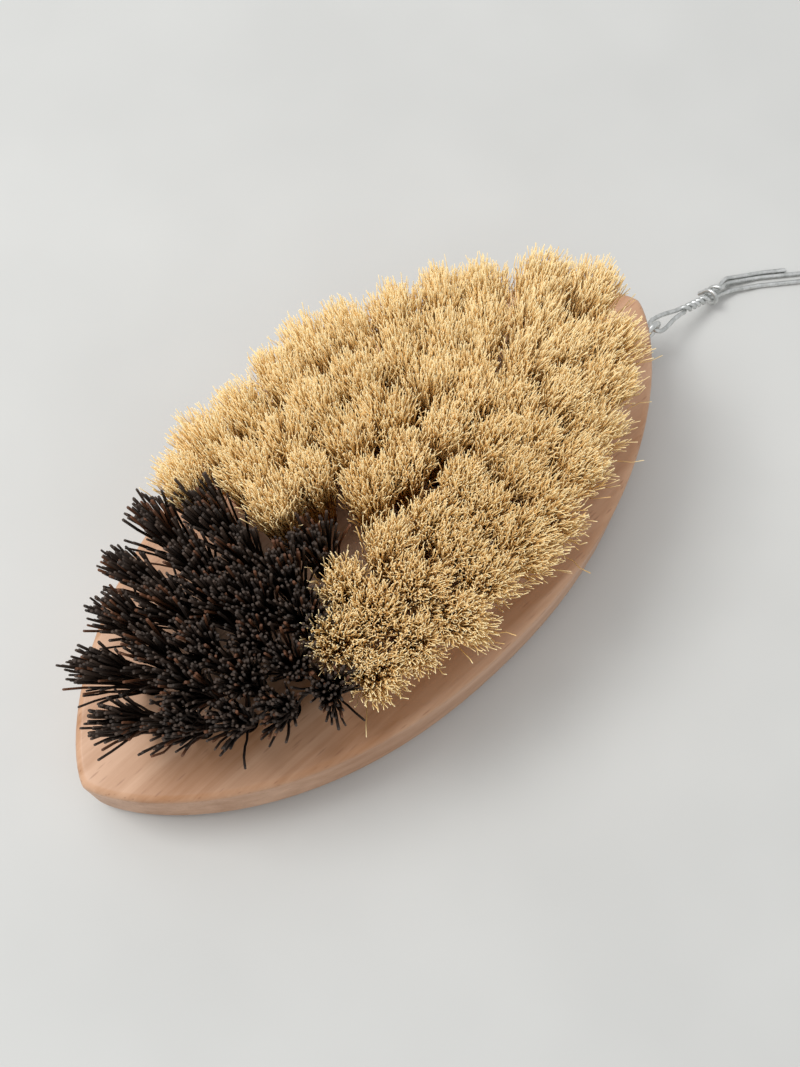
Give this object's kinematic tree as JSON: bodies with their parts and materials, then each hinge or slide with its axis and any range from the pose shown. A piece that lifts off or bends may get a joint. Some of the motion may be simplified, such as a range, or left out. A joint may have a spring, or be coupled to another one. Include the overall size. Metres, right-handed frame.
{
  "type": "two-fibre hand brush",
  "caption": "Leaf-shaped beech hand brush with dark stiff and light soft plant-fibre tufts and a twisted wire hanging loop.",
  "frame": {"origin": "middle of the flat back, which the brush lies on, with the bristles up", "axes": "+X along the block from the dark stiff end to the hanging end, +Y to the left looking along +X, +Z the way the bristles point"},
  "size_m": [0.1887, 0.063, 0.042],
  "materials": {
    "beech": "sanded and lightly oiled",
    "dark_fibre": "stiff matt plant fibre, cut ends lighter",
    "light_fibre": "crinkled natural plant fibre",
    "anchor_wire": "bright flat wire",
    "zinc_plated_steel": "bright zinc plate",
    "galvanised_wire": "galvanised, satin"
  },
  "bodies": {
    "brush": {"block": "beech", "dark_outer_left": "dark_fibre", "dark_outer_right": "dark_fibre", "dark_second_left": "dark_fibre", "dark_second_right": "dark_fibre", "dark_third_left": "dark_fibre", "dark_third_right": "dark_fibre", "dark_centre": "dark_fibre", "light_outer_left": "light_fibre", "light_outer_right": "light_fibre", "light_second_left": "light_fibre", "light_second_right": "light_fibre", "light_third_left": "light_fibre", "light_third_right": "light_fibre", "light_centre": "light_fibre", "anchors_outer": "anchor_wire", "anchors_second": "anchor_wire", "anchors_third": "anchor_wire", "anchors_centre": "anchor_wire", "hanger_eye": "zinc_plated_steel"},
    "hanger": {"hanger_wire": "galvanised_wire"}
  },
  "joints": [
    {"name": "hanger_swing", "type": "hinge", "parent": "brush", "child": "hanger", "pos_m": [0.06862, -0.0042, 0.009], "axis": [0, 1, 0], "range_deg": [-110, 65]}
  ]
}
